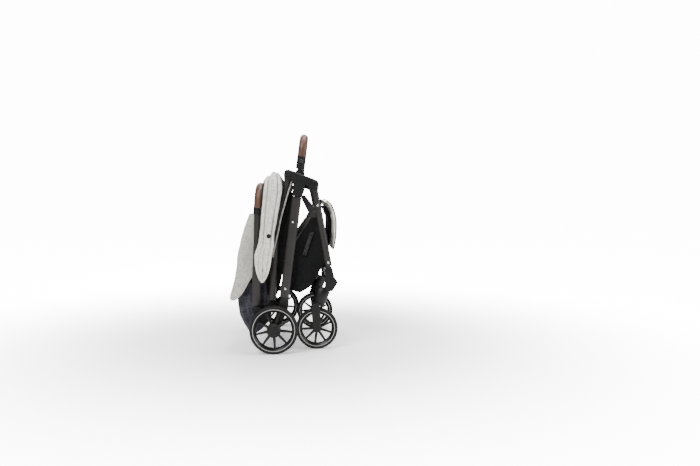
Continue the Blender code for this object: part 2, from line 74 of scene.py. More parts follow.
def new_material(name):
    """An empty material, its node tree and its shader node."""
    material = bpy.data.materials.new(name)
    material.use_nodes = True
    return material, material.node_tree, material.node_tree.nodes["Principled BSDF"]


def grained(name, dark, light, grain_mm, depth_mm, rough, metallic=0.0, patch_mm=60.0, cells=False,
            shine=0.5):
    """A hard finish: two shades that drift into each other, a fine grain in relief, and uneven shine."""
    material, tree, shader = new_material(name)
    shader.inputs["Metallic"].default_value = metallic
    shader.inputs["Specular IOR Level"].default_value = shine
    place = add_node(tree, "ShaderNodeTexCoord").outputs["Object"]
    patch = add_node(tree, "ShaderNodeTexNoise", {"Vector": place, "Scale": 1000 / patch_mm, "Detail": 4.0})
    shade = add_node(tree, "ShaderNodeMix", {0: patch.outputs["Fac"], 6: linear(dark), 7: linear(light)},
                     data_type="RGBA")
    tree.links.new(shade.outputs[2], shader.inputs["Base Color"])
    kind = "ShaderNodeTexVoronoi" if cells else "ShaderNodeTexNoise"
    grain = add_node(tree, kind, {"Vector": place, "Scale": 1000 / grain_mm})
    relief = add_node(tree, "ShaderNodeBump", {"Height": grain.outputs[0], "Strength": 0.6,
                                               "Distance": depth_mm * MM})
    tree.links.new(relief.outputs["Normal"], shader.inputs["Normal"])
    gloss = add_node(tree, "ShaderNodeMapRange", {"Value": patch.outputs["Fac"], "From Min": 0.3,
                                                  "From Max": 0.7, "To Min": rough[0], "To Max": rough[1]})
    tree.links.new(gloss.outputs["Result"], shader.inputs["Roughness"])
    return material


def geometry_tree(name, **sizes):
    """An empty geometry tree with named inputs for its sizes. Gives the tree, its input node and its ids."""
    tree = bpy.data.node_groups.new(name, "GeometryNodeTree")
    tree.interface.new_socket("Geometry", in_out="INPUT", socket_type="NodeSocketGeometry")
    tree.interface.new_socket("Geometry", in_out="OUTPUT", socket_type="NodeSocketGeometry")
    ids = {}
    for title, value in sizes.items():
        kind = "NodeSocketInt" if isinstance(value, int) else "NodeSocketFloat"
        socket = tree.interface.new_socket(title, in_out="INPUT", socket_type=kind)
        socket.default_value = value
        ids[title] = socket.identifier
    return tree, tree.nodes.new("NodeGroupInput"), ids


# Welds a hard part's facets and shades it smooth, except over edges sharper than the limit.
smooth_tree, given, _ = geometry_tree("smooth_hard_part", sharp_angle=0.7)
welded = add_node(smooth_tree, "GeometryNodeMergeByDistance", {"Geometry": given.outputs["Geometry"],
                                                               "Distance": 0.01 * MM})
rounded = add_node(smooth_tree, "GeometryNodeSetShadeSmooth", {"Geometry": welded.outputs[0]}, domain="FACE")
bend = add_node(smooth_tree, "GeometryNodeInputMeshEdgeAngle")
is_sharp = add_node(smooth_tree, "FunctionNodeCompare", {0: bend.outputs[0], 1: given.outputs["sharp_angle"]},
                    operation="GREATER_THAN")
creased = add_node(smooth_tree, "GeometryNodeSetShadeSmooth",
                   {"Geometry": rounded.outputs[0], "Selection": is_sharp.outputs[0], "Shade Smooth": False},
                   domain="EDGE")
add_node(smooth_tree, "NodeGroupOutput", {"Geometry": creased.outputs[0]})


def finish_nodes(material, *names):
    """Gives CAD parts their real finish and smooth shading; a name without a side stands for both."""
    for name in names:
        for part in [name] if name in nodes else [name + "_L", name + "_R"]:
            for place in nodes[part].material_slots:
                place.material = material
            nodes[part].modifiers.new("smooth", "NODES").node_group = smooth_tree


# Nearly black, with wide soft highlights. The peel is drawn at 0.9 mm, coarser than the real one, to show.
POWDER_GRIT = 0.9
tube_paint = grained("powder_coated_aluminium", "#232121", "#2d2b2a", POWDER_GRIT, 0.05, (0.36, 0.46), 0.25,
                      shine=0.3)
finish_nodes(tube_paint, "rear_leg", "front_leg", "lower_tube", "upper_tube", "rear_crossbar",
             "footrest_bar", "seat_frame")

# ---------------------------------------------------------------- hinge blocks and brackets
# Glass-filled nylon blocks, injection moulded in black with a spark-eroded grain. Each joins a rear leg, the
# front leg and the push tube at two pivots. Domed steel rivets hold the fittings inside the legs.

# The grain scatters light, so the black has a dull, even sheen without a clear reflection.
nylon = grained("moulded_nylon", "#0a0a0a", "#111111", 1.1, 0.08, (0.42, 0.55), cells=True, shine=0.22)
finish_nodes(nylon, "hinge_block", "rear_bracket", "lower_knee", "upper_knee", "canopy_hub", "caster_socket",
             "caster_fork", "canopy_rear_bow", "canopy_middle_bow", "canopy_front_bow", "hub_cap",
             "grip_collar", "brake_pedal", "buckle", "fold_trigger", "bumper_arm")

# Bright pressed steel, so each head is one small white glint.
rivet_steel = grained("pressed_rivet_steel", "#b9b9b7", "#d6d6d3", 0.6, 0.02, (0.22, 0.34), 1.0)


def end_tree(tree, copies, material):
    """Ends a tree with its copies made real, shaded smooth and given one material."""
    loose = add_node(tree, "GeometryNodeRealizeInstances", {"Geometry": copies.outputs[0]})
    even = add_node(tree, "GeometryNodeSetShadeSmooth", {"Geometry": loose.outputs[0]})
    painted = add_node(tree, "GeometryNodeSetMaterial", {"Geometry": even.outputs[0], "Material": material})
    add_node(tree, "NodeGroupOutput", {"Geometry": painted.outputs[0]})


# Domed heads on every point, each facing the way its "facing" attribute says.
rivet_tree, given, rivet_ids = geometry_tree("rivet_heads", radius=3.0 * MM, height=1.2 * MM)
dome = add_node(rivet_tree, "GeometryNodeMeshUVSphere", {"Segments": 20, "Rings": 12, "Radius": 1.0})
size = add_node(rivet_tree, "ShaderNodeCombineXYZ", {0: given.outputs["radius"], 1: given.outputs["radius"],
                                                     2: given.outputs["height"]})
facing = add_node(rivet_tree, "GeometryNodeInputNamedAttribute", {"Name": "facing"}, data_type="FLOAT_VECTOR")
aim = add_node(rivet_tree, "FunctionNodeAlignRotationToVector", {"Vector": facing.outputs[0]}, axis="Z")
heads = add_node(rivet_tree, "GeometryNodeInstanceOnPoints",
                 {"Points": given.outputs["Geometry"], "Instance": dome.outputs["Mesh"],
                  "Rotation": aim.outputs[0], "Scale": size.outputs[0]})
end_tree(rivet_tree, heads, rivet_steel)


def show(name, mesh):
    """Puts a mesh in the scene as an object at the origin."""
    piece = bpy.data.objects.new(name, mesh)
    bpy.context.scene.collection.objects.link(piece)
    return piece


def fit(piece, body, node=None):
    """Hangs a piece on its body and hides the CAD node that it stands for, if any."""
    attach(piece, body)
    if node:
        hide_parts(node)


def grown(name, seed, tree, ids, **sizes):
    """Runs a geometry tree on a seed mesh with its sizes and gives the result as a plain piece."""
    holder = show(name + "_seed", seed)
    step = holder.modifiers.new("grow", "NODES")
    step.node_group = tree
    for title, value in sizes.items():
        step[ids[title]] = value
    graph = bpy.context.evaluated_depsgraph_get()
    mesh = bpy.data.meshes.new_from_object(holder.evaluated_get(graph), depsgraph=graph)
    bpy.data.objects.remove(holder)
    return show(name, mesh)


def rivets(name, body, spots, radius, height):
    """Rivet heads on one body at (x, y, z, facing) in mm, where facing is a direction."""
    mesh = bpy.data.meshes.new(name)
    mesh.from_pydata([Vector(spot[:3]) * MM for spot in spots], [], [])
    facings = mesh.attributes.new("facing", "FLOAT_VECTOR", "POINT")
    facings.data.foreach_set("vector", [c for spot in spots for c in spot[3]])
    piece = grown(name, mesh, rivet_tree, rivet_ids, radius=radius * MM, height=height * MM)
    fit(piece, body)


# Left-hand rivets; the right-hand ones mirror them.
REAR_RIVETS = [(25.7, 207.9, 381), (3, 208.2, 186)]
FRONT_RIVETS = [(98, 198, 429), (129, 198, 261)]
for name, body, places in (("leg_rivets_rear", "rear_frame", REAR_RIVETS),
                           ("leg_rivets_front", "front_frame", FRONT_RIVETS)):
    spots = [(x, y * way, z, (0, way, 0)) for way in SIDES.values() for x, y, z in places]
    rivets(name, body, spots, radius=3.4, height=1.6)

# ---------------------------------------------------------------- wheels
# Foamed EVA tyres pressed on black nylon rims with nine thin spokes. A ring of silver foil is printed on the
# faces of each rim. The rear wheels run on a steel axle, each front one beside a single fork blade.

# Foam skin is dull and matt, the rims' nylon a little glossier, and the foil and the axle mirror the lights.
tyre_foam = grained("foamed_eva", "#0b0b0b", "#121211", 1.4, 0.12, (0.6, 0.75), cells=True, shine=0.22)
rim_nylon = grained("glossy_nylon", "#0a0a0a", "#101010", 1.5, 0.03, (0.3, 0.42), shine=0.25)
ring_foil = grained("silver_ring_print", "#8e8e8d", "#a6a6a4", 0.8, 0.01, (0.28, 0.36), 0.75)
axle_steel = grained("drawn_steel", "#8c8c8a", "#a5a5a2", 0.7, 0.02, (0.25, 0.4), 1.0)
finish_nodes(axle_steel, "rear_axle")
TURNING_STEPS = 96
HUB_STEPS = 64
SHARP_EDGE = 0.6


def lathe(name, profile, centre, material, steps=TURNING_STEPS):
    """A closed profile of (radius, offset along Y) in mm, turned round an axis along Y through centre."""
    ring = np.array(profile, float)
    angles = np.arange(steps) * math.tau / steps
    spots = np.empty((steps, len(ring), 3))
    spots[:, :, 0] = centre[0] + np.cos(angles)[:, None] * ring[:, 0]
    spots[:, :, 1] = centre[1] + ring[:, 1]
    spots[:, :, 2] = centre[2] + np.sin(angles)[:, None] * ring[:, 0]
    count = len(ring)
    faces = [(i * count + j, i * count + (j + 1) % count, (i + 1) % steps * count + (j + 1) % count,
              (i + 1) % steps * count + j) for i in range(steps) for j in range(count)]
    mesh = bpy.data.meshes.new(name)
    mesh.from_pydata((spots.reshape(-1, 3) * MM).tolist(), [], faces)
    return close_mesh(name, mesh, material)


def close_mesh(name, mesh, material):
    """Makes a piece from a mesh: normals outwards, smooth faces with its sharp edges kept, one material."""
    shape = bmesh.new()
    shape.from_mesh(mesh)
    bmesh.ops.remove_doubles(shape, verts=shape.verts, dist=0.001 * MM)
    bmesh.ops.recalc_face_normals(shape, faces=shape.faces)
    for face in shape.faces:
        face.smooth = True
    for edge in shape.edges:
        edge.smooth = len(edge.link_faces) == 2 and edge.calc_face_angle(0) < SHARP_EDGE
    shape.to_mesh(mesh)
    shape.free()
    mesh.materials.append(material)
    return show(name, mesh)


# Spokes round a hub, each a tapered bar, made from one point at the hub's middle.
spoke_tree, given, spoke_ids = geometry_tree("wheel_spokes", count=9, inner=19.0 * MM, outer=52.0 * MM,
                                             thick=3.4 * MM, deep=7.0 * MM)
bar_start = add_node(spoke_tree, "ShaderNodeCombineXYZ", {0: given.outputs["inner"]})
bar_end = add_node(spoke_tree, "ShaderNodeCombineXYZ", {0: given.outputs["outer"]})
spoke_bar = add_node(spoke_tree, "GeometryNodeCurvePrimitiveLine",
                     {"Start": bar_start.outputs[0], "End": bar_end.outputs[0]})
points = add_node(spoke_tree, "GeometryNodeResampleCurve", {"Curve": spoke_bar.outputs[0], "Count": 6})
along = add_node(spoke_tree, "GeometryNodeSplineParameter")
taper = add_node(spoke_tree, "ShaderNodeMapRange", {"Value": along.outputs["Factor"], "To Min": 1.25,
                                                    "To Max": 0.9})
section = add_node(spoke_tree, "GeometryNodeCurvePrimitiveCircle", {"Resolution": 8, "Radius": 1.0})
section_size = add_node(spoke_tree, "ShaderNodeCombineXYZ", {0: given.outputs["thick"],
                                                             1: given.outputs["deep"], 2: 1.0})
halved = add_node(spoke_tree, "ShaderNodeVectorMath", {0: section_size.outputs[0], 1: (0.5, 0.5, 0.5)},
                  operation="MULTIPLY")
oval = add_node(spoke_tree, "GeometryNodeTransform", {"Geometry": section.outputs["Curve"],
                                                      "Scale": halved.outputs[0]})
bar = add_node(spoke_tree, "GeometryNodeCurveToMesh", {"Curve": points.outputs[0],
                                                       "Profile Curve": oval.outputs[0],
                                                       "Scale": taper.outputs[0], "Fill Caps": True})
copies = add_node(spoke_tree, "GeometryNodeMeshLine", {"Count": given.outputs["count"],
                                                       "Offset": (0.0, 0.0, 0.0)})
number = add_node(spoke_tree, "GeometryNodeInputIndex")
share = add_node(spoke_tree, "ShaderNodeMath", {0: number.outputs[0], 1: given.outputs["count"]},
                 operation="DIVIDE")
angle = add_node(spoke_tree, "ShaderNodeMath", {0: share.outputs[0], 1: math.tau}, operation="MULTIPLY")
turn = add_node(spoke_tree, "ShaderNodeCombineXYZ", {1: angle.outputs[0]})
wheel_of_bars = add_node(spoke_tree, "GeometryNodeInstanceOnPoints",
                         {"Points": copies.outputs[0], "Instance": bar.outputs[0],
                          "Rotation": turn.outputs[0]})
end_tree(spoke_tree, wheel_of_bars, rim_nylon)


def mirrored(half):
    """A closed profile from its half on the one side of the wheel's middle."""
    return half + [(r, -y) for r, y in reversed(half)]


def wheel(name, radius, half, centre, hub, bore, turn_by):
    """Tyre, rim, spokes and silver rings of one wheel, on its own body. Sizes in mm, turn_by in radians."""
    body = name.replace("_", "_wheel_")
    seat = radius - 8.4
    tread = [(seat, -half + 2.2), (seat + 2.2, -half + 0.5), (seat + 4.6, -half), (radius - 1.6, -half + 1.6),
             (radius - 0.4, -half + 4.0), (radius, -3.6), (radius - 0.9, -3.2), (radius - 0.9, -2.4),
             (radius, -2.0)]
    tyre = lathe("tyre_foam_" + name, mirrored(tread), centre, tyre_foam)
    fit(tyre, body, "tyre_" + name)
    window = radius - 18.4
    half_rim = [(window, -3.2), (window + 0.8, -4.6), (window + 5.0, -half + 3.2), (window + 6.6, -half + 1.9),
                (seat - 0.1, -half + 1.7)]
    rim = lathe("rim_band_" + name, mirrored(half_rim), centre, rim_nylon)
    half_hub = [(bore, -half + 1.2), (hub - 1.5, -half + 1.2), (hub, -half + 2.8)]
    barrel = lathe("rim_hub_" + name, mirrored(half_hub), centre, rim_nylon, HUB_STEPS)
    seed = bpy.data.meshes.new(name)
    seed.from_pydata([(0, 0, 0)], [], [])
    spokes = grown("rim_spokes_" + name, seed, spoke_tree, spoke_ids, inner=(hub - 2) * MM,
                   outer=(window + 1.5) * MM)
    spokes.data.transform(Matrix.Translation(Vector(centre) * MM) @ Matrix.Rotation(turn_by, 4, "Y"))
    face = half - 1.6
    inner = radius - 10.6
    outer = radius - 8.7
    for end, way in (("outer", 1), ("inner", -1)):
        foil = [(inner, face * way), (outer, face * way), (outer, (face + 0.7) * way),
                (inner + 0.3, (face + 0.7) * way)]
        foil = lathe("silver_ring_" + end + "_" + name, foil, centre, ring_foil)
        fit(foil, body)
    fit(rim, body, "rim_" + name)
    fit(barrel, body)
    fit(spokes, body)


REAR_RADIUS, FRONT_RADIUS = 70.0, 62.0
REAR_X, FRONT_X = -30.0, 96.0
HUB_DISH = [(5, 240.2), (12.5, 240.2), (13.5, 241.4), (15, 241.4), (16, 240.2), (16, 239.8), (5, 239.8)]
for side, way in SIDES.items():
    wheel("rear_" + side, REAR_RADIUS, 12.0, (REAR_X, 226.0 * way, REAR_RADIUS), hub=20.0, bore=5.4,
          turn_by=0.12)
    wheel("front_" + side, FRONT_RADIUS, 11.0, (FRONT_X, 163.0 * way, FRONT_RADIUS), hub=11.0, bore=4.4,
          turn_by=0.3)
    dish = lathe("hub_cap_lip_" + side, [(r, y * way) for r, y in HUB_DISH], (REAR_X, 0, REAR_RADIUS),
                 rim_nylon, HUB_STEPS)
    fit(dish, "rear_wheel_" + side)

# ---------------------------------------------------------------- canopy
# Light grey heather polyester, plain woven, over three nylon bows that turn on one hub at each side. Stowed, it
# lies in upright pleats against the handle, and its lower ends are gathered over the hubs.


def woven(name, dark, light, thread_mm, space="UV", relief_mm=0.25, fleck=(2.5, 16.0), shine=0.25):
    """Plain weave. Warp and weft cross in relief, and darker fibres are spun in as long flecks. The threads are
    drawn several times coarser than the real 0.3 mm, so that they show."""
    material, tree, shader = new_material(name)
    shader.inputs["Roughness"].default_value = 0.86
    shader.inputs["Sheen Weight"].default_value = shine / 2
    shader.inputs["Specular IOR Level"].default_value = shine
    place = add_node(tree, "ShaderNodeTexCoord").outputs[space]
    if space == "Object":
        parts = add_node(tree, "ShaderNodeSeparateXYZ", {0: place})
        slope = add_node(tree, "ShaderNodeMath", {0: parts.outputs[0], 1: parts.outputs[2]}, operation="ADD")
        place = add_node(tree, "ShaderNodeCombineXYZ", {0: parts.outputs[1], 1: slope.outputs[0]}).outputs[0]
    threads = []
    flecks = []
    for axis, size in (("X", (fleck[0], fleck[1], 50.0)), ("Y", (fleck[1], fleck[0], 50.0))):
        threads.append(add_node(tree, "ShaderNodeTexWave", {"Vector": place, "Scale": 100 * math.pi / thread_mm,
                                                            "Distortion": 0.6, "Detail": 1.0},
                                bands_direction=axis).outputs["Fac"])
        squeezed = add_node(tree, "ShaderNodeMapping", {"Vector": place,
                                                        "Scale": tuple(1000 / mm for mm in size)})
        flecks.append(add_node(tree, "ShaderNodeTexNoise", {"Vector": squeezed.outputs[0], "Scale": 1.0,
                                                            "Detail": 2.0}).outputs["Fac"])
    weave = add_node(tree, "ShaderNodeMath", {0: threads[0], 1: threads[1]}, operation="MAXIMUM")
    mixed = add_node(tree, "ShaderNodeMath", {0: flecks[0], 1: flecks[1]}, operation="ADD")
    tone = add_node(tree, "ShaderNodeMapRange", {"Value": mixed.outputs[0], "From Min": 0.8, "From Max": 1.12})
    shade = add_node(tree, "ShaderNodeMix", {0: tone.outputs["Result"], 6: linear(dark), 7: linear(light)},
                     data_type="RGBA")
    tree.links.new(shade.outputs[2], shader.inputs["Base Color"])
    bump = add_node(tree, "ShaderNodeBump", {"Height": weave.outputs[0], "Strength": 0.7,
                                             "Distance": relief_mm * MM})
    tree.links.new(bump.outputs["Normal"], shader.inputs["Normal"])
    return material


SPARE = 1.01


def soften(piece):
    """Rounds a piece with one step of subdivision."""
    soft = piece.modifiers.new("soft", "SUBSURF")
    soft.levels = 1
    soft.render_levels = 1


def cloth(name, rows, material, thick=0.9):
    """A sheet of cloth through rows of points in mm. Its UV map runs in metres. Gives the piece, its cut (flat
    width and length, with 1% to spare) and its area, in metres."""
    spots = np.asarray(rows, float) * MM
    count, width = spots.shape[:2]
    across = np.zeros((count, width))
    along = np.zeros((count, width))
    across[:, 1:] = np.cumsum(np.linalg.norm(np.diff(spots, axis=1), axis=2), axis=1)
    along[1:] = np.cumsum(np.linalg.norm(np.diff(spots, axis=0), axis=2), axis=0)
    faces = [(r * width + c, r * width + c + 1, (r + 1) * width + c + 1, (r + 1) * width + c)
             for r in range(count - 1) for c in range(width - 1)]
    mesh = bpy.data.meshes.new(name)
    mesh.from_pydata(spots.reshape(-1, 3).tolist(), [], faces)
    corner = np.empty(len(mesh.loops), np.int32)
    mesh.loops.foreach_get("vertex_index", corner)
    flat = np.stack([across.mean(axis=0)[None, :].repeat(count, 0),
                     along.mean(axis=1)[:, None].repeat(width, 1)], axis=2).reshape(-1, 2)
    mesh.uv_layers.new(name="UVMap").data.foreach_set("uv", flat[corner].ravel().astype(np.float32))
    mesh.polygons.foreach_set("use_smooth", [True] * len(faces))
    mesh.materials.append(material)
    piece = show(name, mesh)
    wall = piece.modifiers.new("thickness", "SOLIDIFY")
    wall.thickness = thick * MM
    wall.offset = 0.0
    soften(piece)
    area = sum(face.area for face in mesh.polygons)
    cut = (float(across[:, -1].max()) * SPARE, float(along[-1].max()) * SPARE)
    return piece, cut, min(area, cut[0] * cut[1])


def crumple(rows, depth, size, seed, keep=None):
    """Moves each point of a sheet along its normal by smooth noise. depth is in mm, size the folds' size along
    X, Y and Z; keep holds a share of the depth for each point."""
    spots = np.asarray(rows, float)
    normal = np.cross(np.gradient(spots, axis=0), np.gradient(spots, axis=1))
    normal /= np.linalg.norm(normal, axis=2, keepdims=True) + 1e-9
    wave = np.empty(spots.shape[:2])
    for i in range(spots.shape[0]):
        for j in range(spots.shape[1]):
            at = Vector([spots[i, j, k] / size[k] for k in range(3)]) + Vector((seed, seed * 0.7, 0))
            wave[i, j] = noise.noise(at) + 0.4 * noise.noise(at * 2.3)
    if keep is not None:
        wave *= keep
    return spots + normal * (depth * wave)[:, :, None]


def declare_sheet(piece, body=None):
    """Hangs a sheet of cloth on its body; a sheet without a body is left where it lies."""
    if body:
        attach(piece, body)


# Pale and dry, with long faint flecks that run both ways.
heather = woven("heather_polyester", "#a9a89f", "#d6d5ce", 1.6)
CANOPY_HUB = (-66.0, 235.0)
MIDDLE_TURN = 85.25
# Directions in degrees of the bows' lines and of the cloth's edges, at distances from the hub.
MIDDLE_BOW = [(0, MIDDLE_TURN), (300, MIDDLE_TURN)]
REAR_EDGE = [(45, 107), (55, 108), (75, 98.4), (100, 92.3), (135, 90), (195, 88.7), (253, 87.9), (275, 87.6)]
FRONT_EDGE = [(43, 50), (70, 62), (115, 71), (180, 74), (247, 75.5), (281, 78.3), (296, 80.5)]


def level(points, value):
    """The value between points (at, value), joined by straight lines."""
    return float(np.interp(value, [p[0] for p in points], [p[1] for p in points]))


def hoop(low, top, half_width, corner=50.0):
    """(distance from the hub, y) along one hoop of cloth, from its right foot over the top to its left one."""
    side = [(q, -half_width) for q in np.linspace(low, top - corner, 20)]
    bend = [(top - corner + corner * math.sin(a), corner - half_width - corner * math.cos(a))
            for a in np.linspace(0, math.pi / 2, 10)[1:-1]]
    over = [(top, y) for y in np.linspace(corner - half_width, 0, 14)]
    half = side + bend + over
    return half + [(q, -y) for q, y in reversed(half[:-1])]


# Half widths of the cloth where it passes the hubs and where its side folds start, and the distances from the
# hub at which it has left the hub and at which the folds begin and are full.
HUB_CLEAR = 221.0
PLAIN_SIDE = 214.0
HUB_PASSED = 78.0
FOLDS_BEGIN, FOLDS_FULL = 44.0, 104.0


def gore(first_edge, last_edge, sides, tops, steps, low=18.0):
    """Rows of points (mm) for the cloth between two edges: sides and tops give its half width and its distance
    from the hub as the share between the edges grows."""
    rows = []
    for share in np.linspace(0, 1, steps):
        row = []
        for q, y in hoop(low, level(tops, share), level(sides, share)):
            swell = min(1.0, max(0.0, q - FOLDS_BEGIN) / (FOLDS_FULL - FOLDS_BEGIN))
            if abs(y) > 200:
                reach = min(abs(y), PLAIN_SIDE + max(abs(y) - PLAIN_SIDE, 0) * (0.3 + 0.7 * swell))
                near = max(0.0, min(1.0, (HUB_PASSED - q) / 28.0))
                y = math.copysign(reach + (HUB_CLEAR - reach) * near, y)
            turn = math.radians((1 - share) * level(first_edge, q) + share * level(last_edge, q))
            row.append((CANOPY_HUB[0] + q * math.cos(turn), y, CANOPY_HUB[1] + q * math.sin(turn)))
        rows.append(row)
    return rows


REAR_SIDES = [(0, 213.6), (0.1, 217.5), (0.3, 221), (0.55, 220.5), (0.8, 219.5), (0.93, 217), (1, 213.4)]
REAR_TOPS = [(0, 273.5), (0.3, 279.5), (0.7, 283), (0.9, 283.5), (1, 282)]
FRONT_SIDES = [(0, 213.4), (0.06, 219.8), (0.15, 222.5), (0.24, 221), (0.29, 219.9), (0.36, 222.6), (0.5, 223.6),
               (0.62, 221.5), (0.68, 215), (0.71, 209), (0.74, 215), (0.8, 221.5), (0.9, 223), (1, 216)]
FRONT_TOPS = [(0, 282), (0.1, 287), (0.25, 293.6), (0.45, 297.5), (0.62, 295), (0.71, 288), (0.8, 294),
              (0.92, 294), (1, 288)]
CANOPY_CREASES = (15.0, 30.0, 70.0)


def gore_cloth(title, rows, seed, keep):
    """One gore's creased sheet; keep holds its creases back where it is sewn to the middle bow."""
    piece, cut, area = cloth(title, crumple(rows, 2.6, CANOPY_CREASES, seed, keep[:, None]), heather)
    return piece, cut, area


rows = gore(REAR_EDGE, MIDDLE_BOW, REAR_SIDES, REAR_TOPS, 17)
from_seam = np.minimum(1.0, np.arange(len(rows)) / 3.0)
piece, cut, area = gore_cloth("canopy_gore_rear", rows, 3.1, from_seam[::-1])
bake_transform(piece)
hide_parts("canopy_cover_rear")
declare_sheet(piece)

rows = gore(MIDDLE_BOW, FRONT_EDGE, FRONT_SIDES, FRONT_TOPS, 43)
from_seam = np.minimum(1.0, np.arange(len(rows)) / 3.0)
piece, cut, area = gore_cloth("canopy_gore_front", rows, 8.4, from_seam)
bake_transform(piece)
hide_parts("canopy_cover_front")
declare_sheet(piece)

# The gathered ends over the hubs: edges as (height, x), and three tucks as (height, share of the width).
LOBE_LOW, LOBE_HIGH = 205.6, 318
LOBE_REAR = [(205.5, -63.5), (208, -67), (218, -73), (235, -79), (260, -83.5), (287, -84.2), (300, -80),
             (318, -73)]
LOBE_FRONT = [(205.5, -62.5), (208, -58), (218, -51.5), (235, -44), (250, -40), (267, -36.9), (290, -34.8),
              (318, -31)]
GATHER_PLACES = ([(205, 0.3), (260, 0.24), (318, 0.36)], [(205, 0.55), (250, 0.5), (318, 0.56)],
                 [(205, 0.74), (245, 0.79), (318, 0.86)])
TUCK_DEPTHS = (5.0, 6.2, 4.4)
TUCK_WIDTH = 0.055
PUFF = 5.5
LOBE_Y = 220.4
for side, way in SIDES.items():
    rows = []
    for z in np.linspace(LOBE_LOW, LOBE_HIGH, 34):
        ends = level(LOBE_REAR, z), level(LOBE_FRONT, z)
        row = []
        for u in np.linspace(0, 1, 41):
            tucks = [level(GATHER_PLACES[k], z) for k in range(3)]
            depth = PUFF * min(1, (z - 203) / 26)
            for tuck, deep in zip(tucks, TUCK_DEPTHS):
                depth -= deep * math.exp(-((u - tuck) / TUCK_WIDTH) ** 2) * min(1, max(0, z - 212) / 14)
            dive = max(0.0, (z - 288) / 30) ** 2 * 11
            row.append((ends[0] + u * (ends[1] - ends[0]), (LOBE_Y + max(depth, -1.0) - dive) * way, z))
        rows.append(row)
    piece, cut, area = cloth("canopy_gather_" + side, crumple(rows, 1.0, (14.0, 30.0, 50.0), 5.0), heather)
    declare_sheet(piece, "upper_push")

# ---------------------------------------------------------------- back flap and mesh panel
# The flap is the canopy's cloth turned to its darker inner side and hemmed, and it hangs down behind the handle
# with a wing at each side. Below it a mesh of dark grey polyester hangs in loose folds, with a black bound top.

# Coarse, dark and streaky mesh; the plain black cloth shows its threads only where light grazes it.
net_cloth = woven("ventilation_net", "#232228", "#3a3941", 2.2, relief_mm=0.5, fleck=(6.0, 30.0), shine=0.12)
black_cloth = woven("black_polyester", "#0a0a0a", "#141414", 1.6, relief_mm=0.3, shine=0.08)


def wrap(back, front_x, half_width, tops, bottoms, steps, radius=14.0, wing_steps=9):
    """Rows from top to bottom of a sheet that hangs behind the frame and turns forward into a wing at each side.
    back gives x at a height; tops and bottoms give z at the share from the wing's front edge to its rear one."""
    shares = list(np.linspace(0, 1, wing_steps))
    rows = []
    for down in np.linspace(0, 1, steps):
        half = []
        for share in shares:
            z = (1 - down) * level(tops, share) + down * level(bottoms, share)
            rear_x = level(back, z) + radius
            half.append((front_x + share * (rear_x - front_x), -half_width, z))
        z = half[-1][2]
        rear_x = level(back, z)
        half += [(rear_x + radius - radius * math.sin(a), radius - half_width - radius * math.cos(a), z)
                 for a in np.linspace(0, math.pi / 2, 6)[1:]]
        half += [(rear_x, y, z) for y in np.linspace(radius - half_width, 0, 16)[1:]]
        rows.append(half + [(x, -y, z) for x, y, z in reversed(half[:-1])])
    return rows


FLAP_BACK = [(150, -158.5), (156, -158), (190, -154.5), (255, -145), (322, -129), (368, -113), (412, -95)]
flap_rows = wrap(FLAP_BACK, -84.0, 187.0, [(0, 409), (1, 405)],
                 [(0, 236), (0.35, 205), (0.7, 165), (1, 150)], 40)
flap_cloth = woven("heather_polyester_lining", "#8a8980", "#b4b3ab", 1.6)
flap_rows = crumple(flap_rows, 7.0, (50.0, 60.0, 95.0), 2.0)
piece, cut, area = cloth("back_flap_cloth", flap_rows, flap_cloth, 1.2)
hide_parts("back_flap")
declare_sheet(piece, "upper_push")

NET_BACK = [(48, -101), (54, -106), (105, -131.5), (145, -137.5), (160, -137), (205, -128), (250, -118)]
net_rows = wrap(NET_BACK, -39.0, 175.0, [(0, 236), (1, 246)], [(0, 92), (0.5, 62), (1, 48)], 34)
NET_FOLDS = (32.0, 45.0, 160.0)
net_rows = crumple(net_rows, 6.5, NET_FOLDS, 7.0)
piece, cut, area = cloth("net_panel_cloth", net_rows, net_cloth)
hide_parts("rear_mesh_panel")
declare_sheet(piece, "upper_push")

BAND_BACK = [(150, -140), (205, -131), (260, -119)]
band_rows = wrap(BAND_BACK, -42.0, 176.5, [(0, 250), (1, 252)], [(0, 214), (1, 196)], 10)
band_rows = crumple(band_rows, 4.0, NET_FOLDS, 7.0)
piece, cut, area = cloth("net_panel_binding", band_rows, black_cloth)
declare_sheet(piece, "upper_push")

# ---------------------------------------------------------------- seat, backrest and calf rest
# Foam boards sewn into covers, quilted in channels across: black on the seat and the backrest, heather grey on
# the calf rest, whose inner side is black. The seat cover's black skirts hang down at both sides to the basket.

# The covers' threads run with the board, so they are laid out in space: pale and flecked, or black and dull.
pad_heather = woven("padded_heather_cover", "#adaca3", "#d3d2cb", 1.6, space="Object")
pad_black = woven("padded_black_cover", "#0b0b0b", "#161616", 1.6, space="Object", shine=0.08)
SIM_FRAMES = 20
SIM_PRESSURE = 4.0
PAD_ROWS, PAD_COLUMNS = 46, 41
CHANNEL_DEPTH, CHANNEL_WIDTH = 2.6, 4.5
SEAM_DEPTH, SEAM_WIDTH, SEAM_INSET = 1.2, 3.5, 9


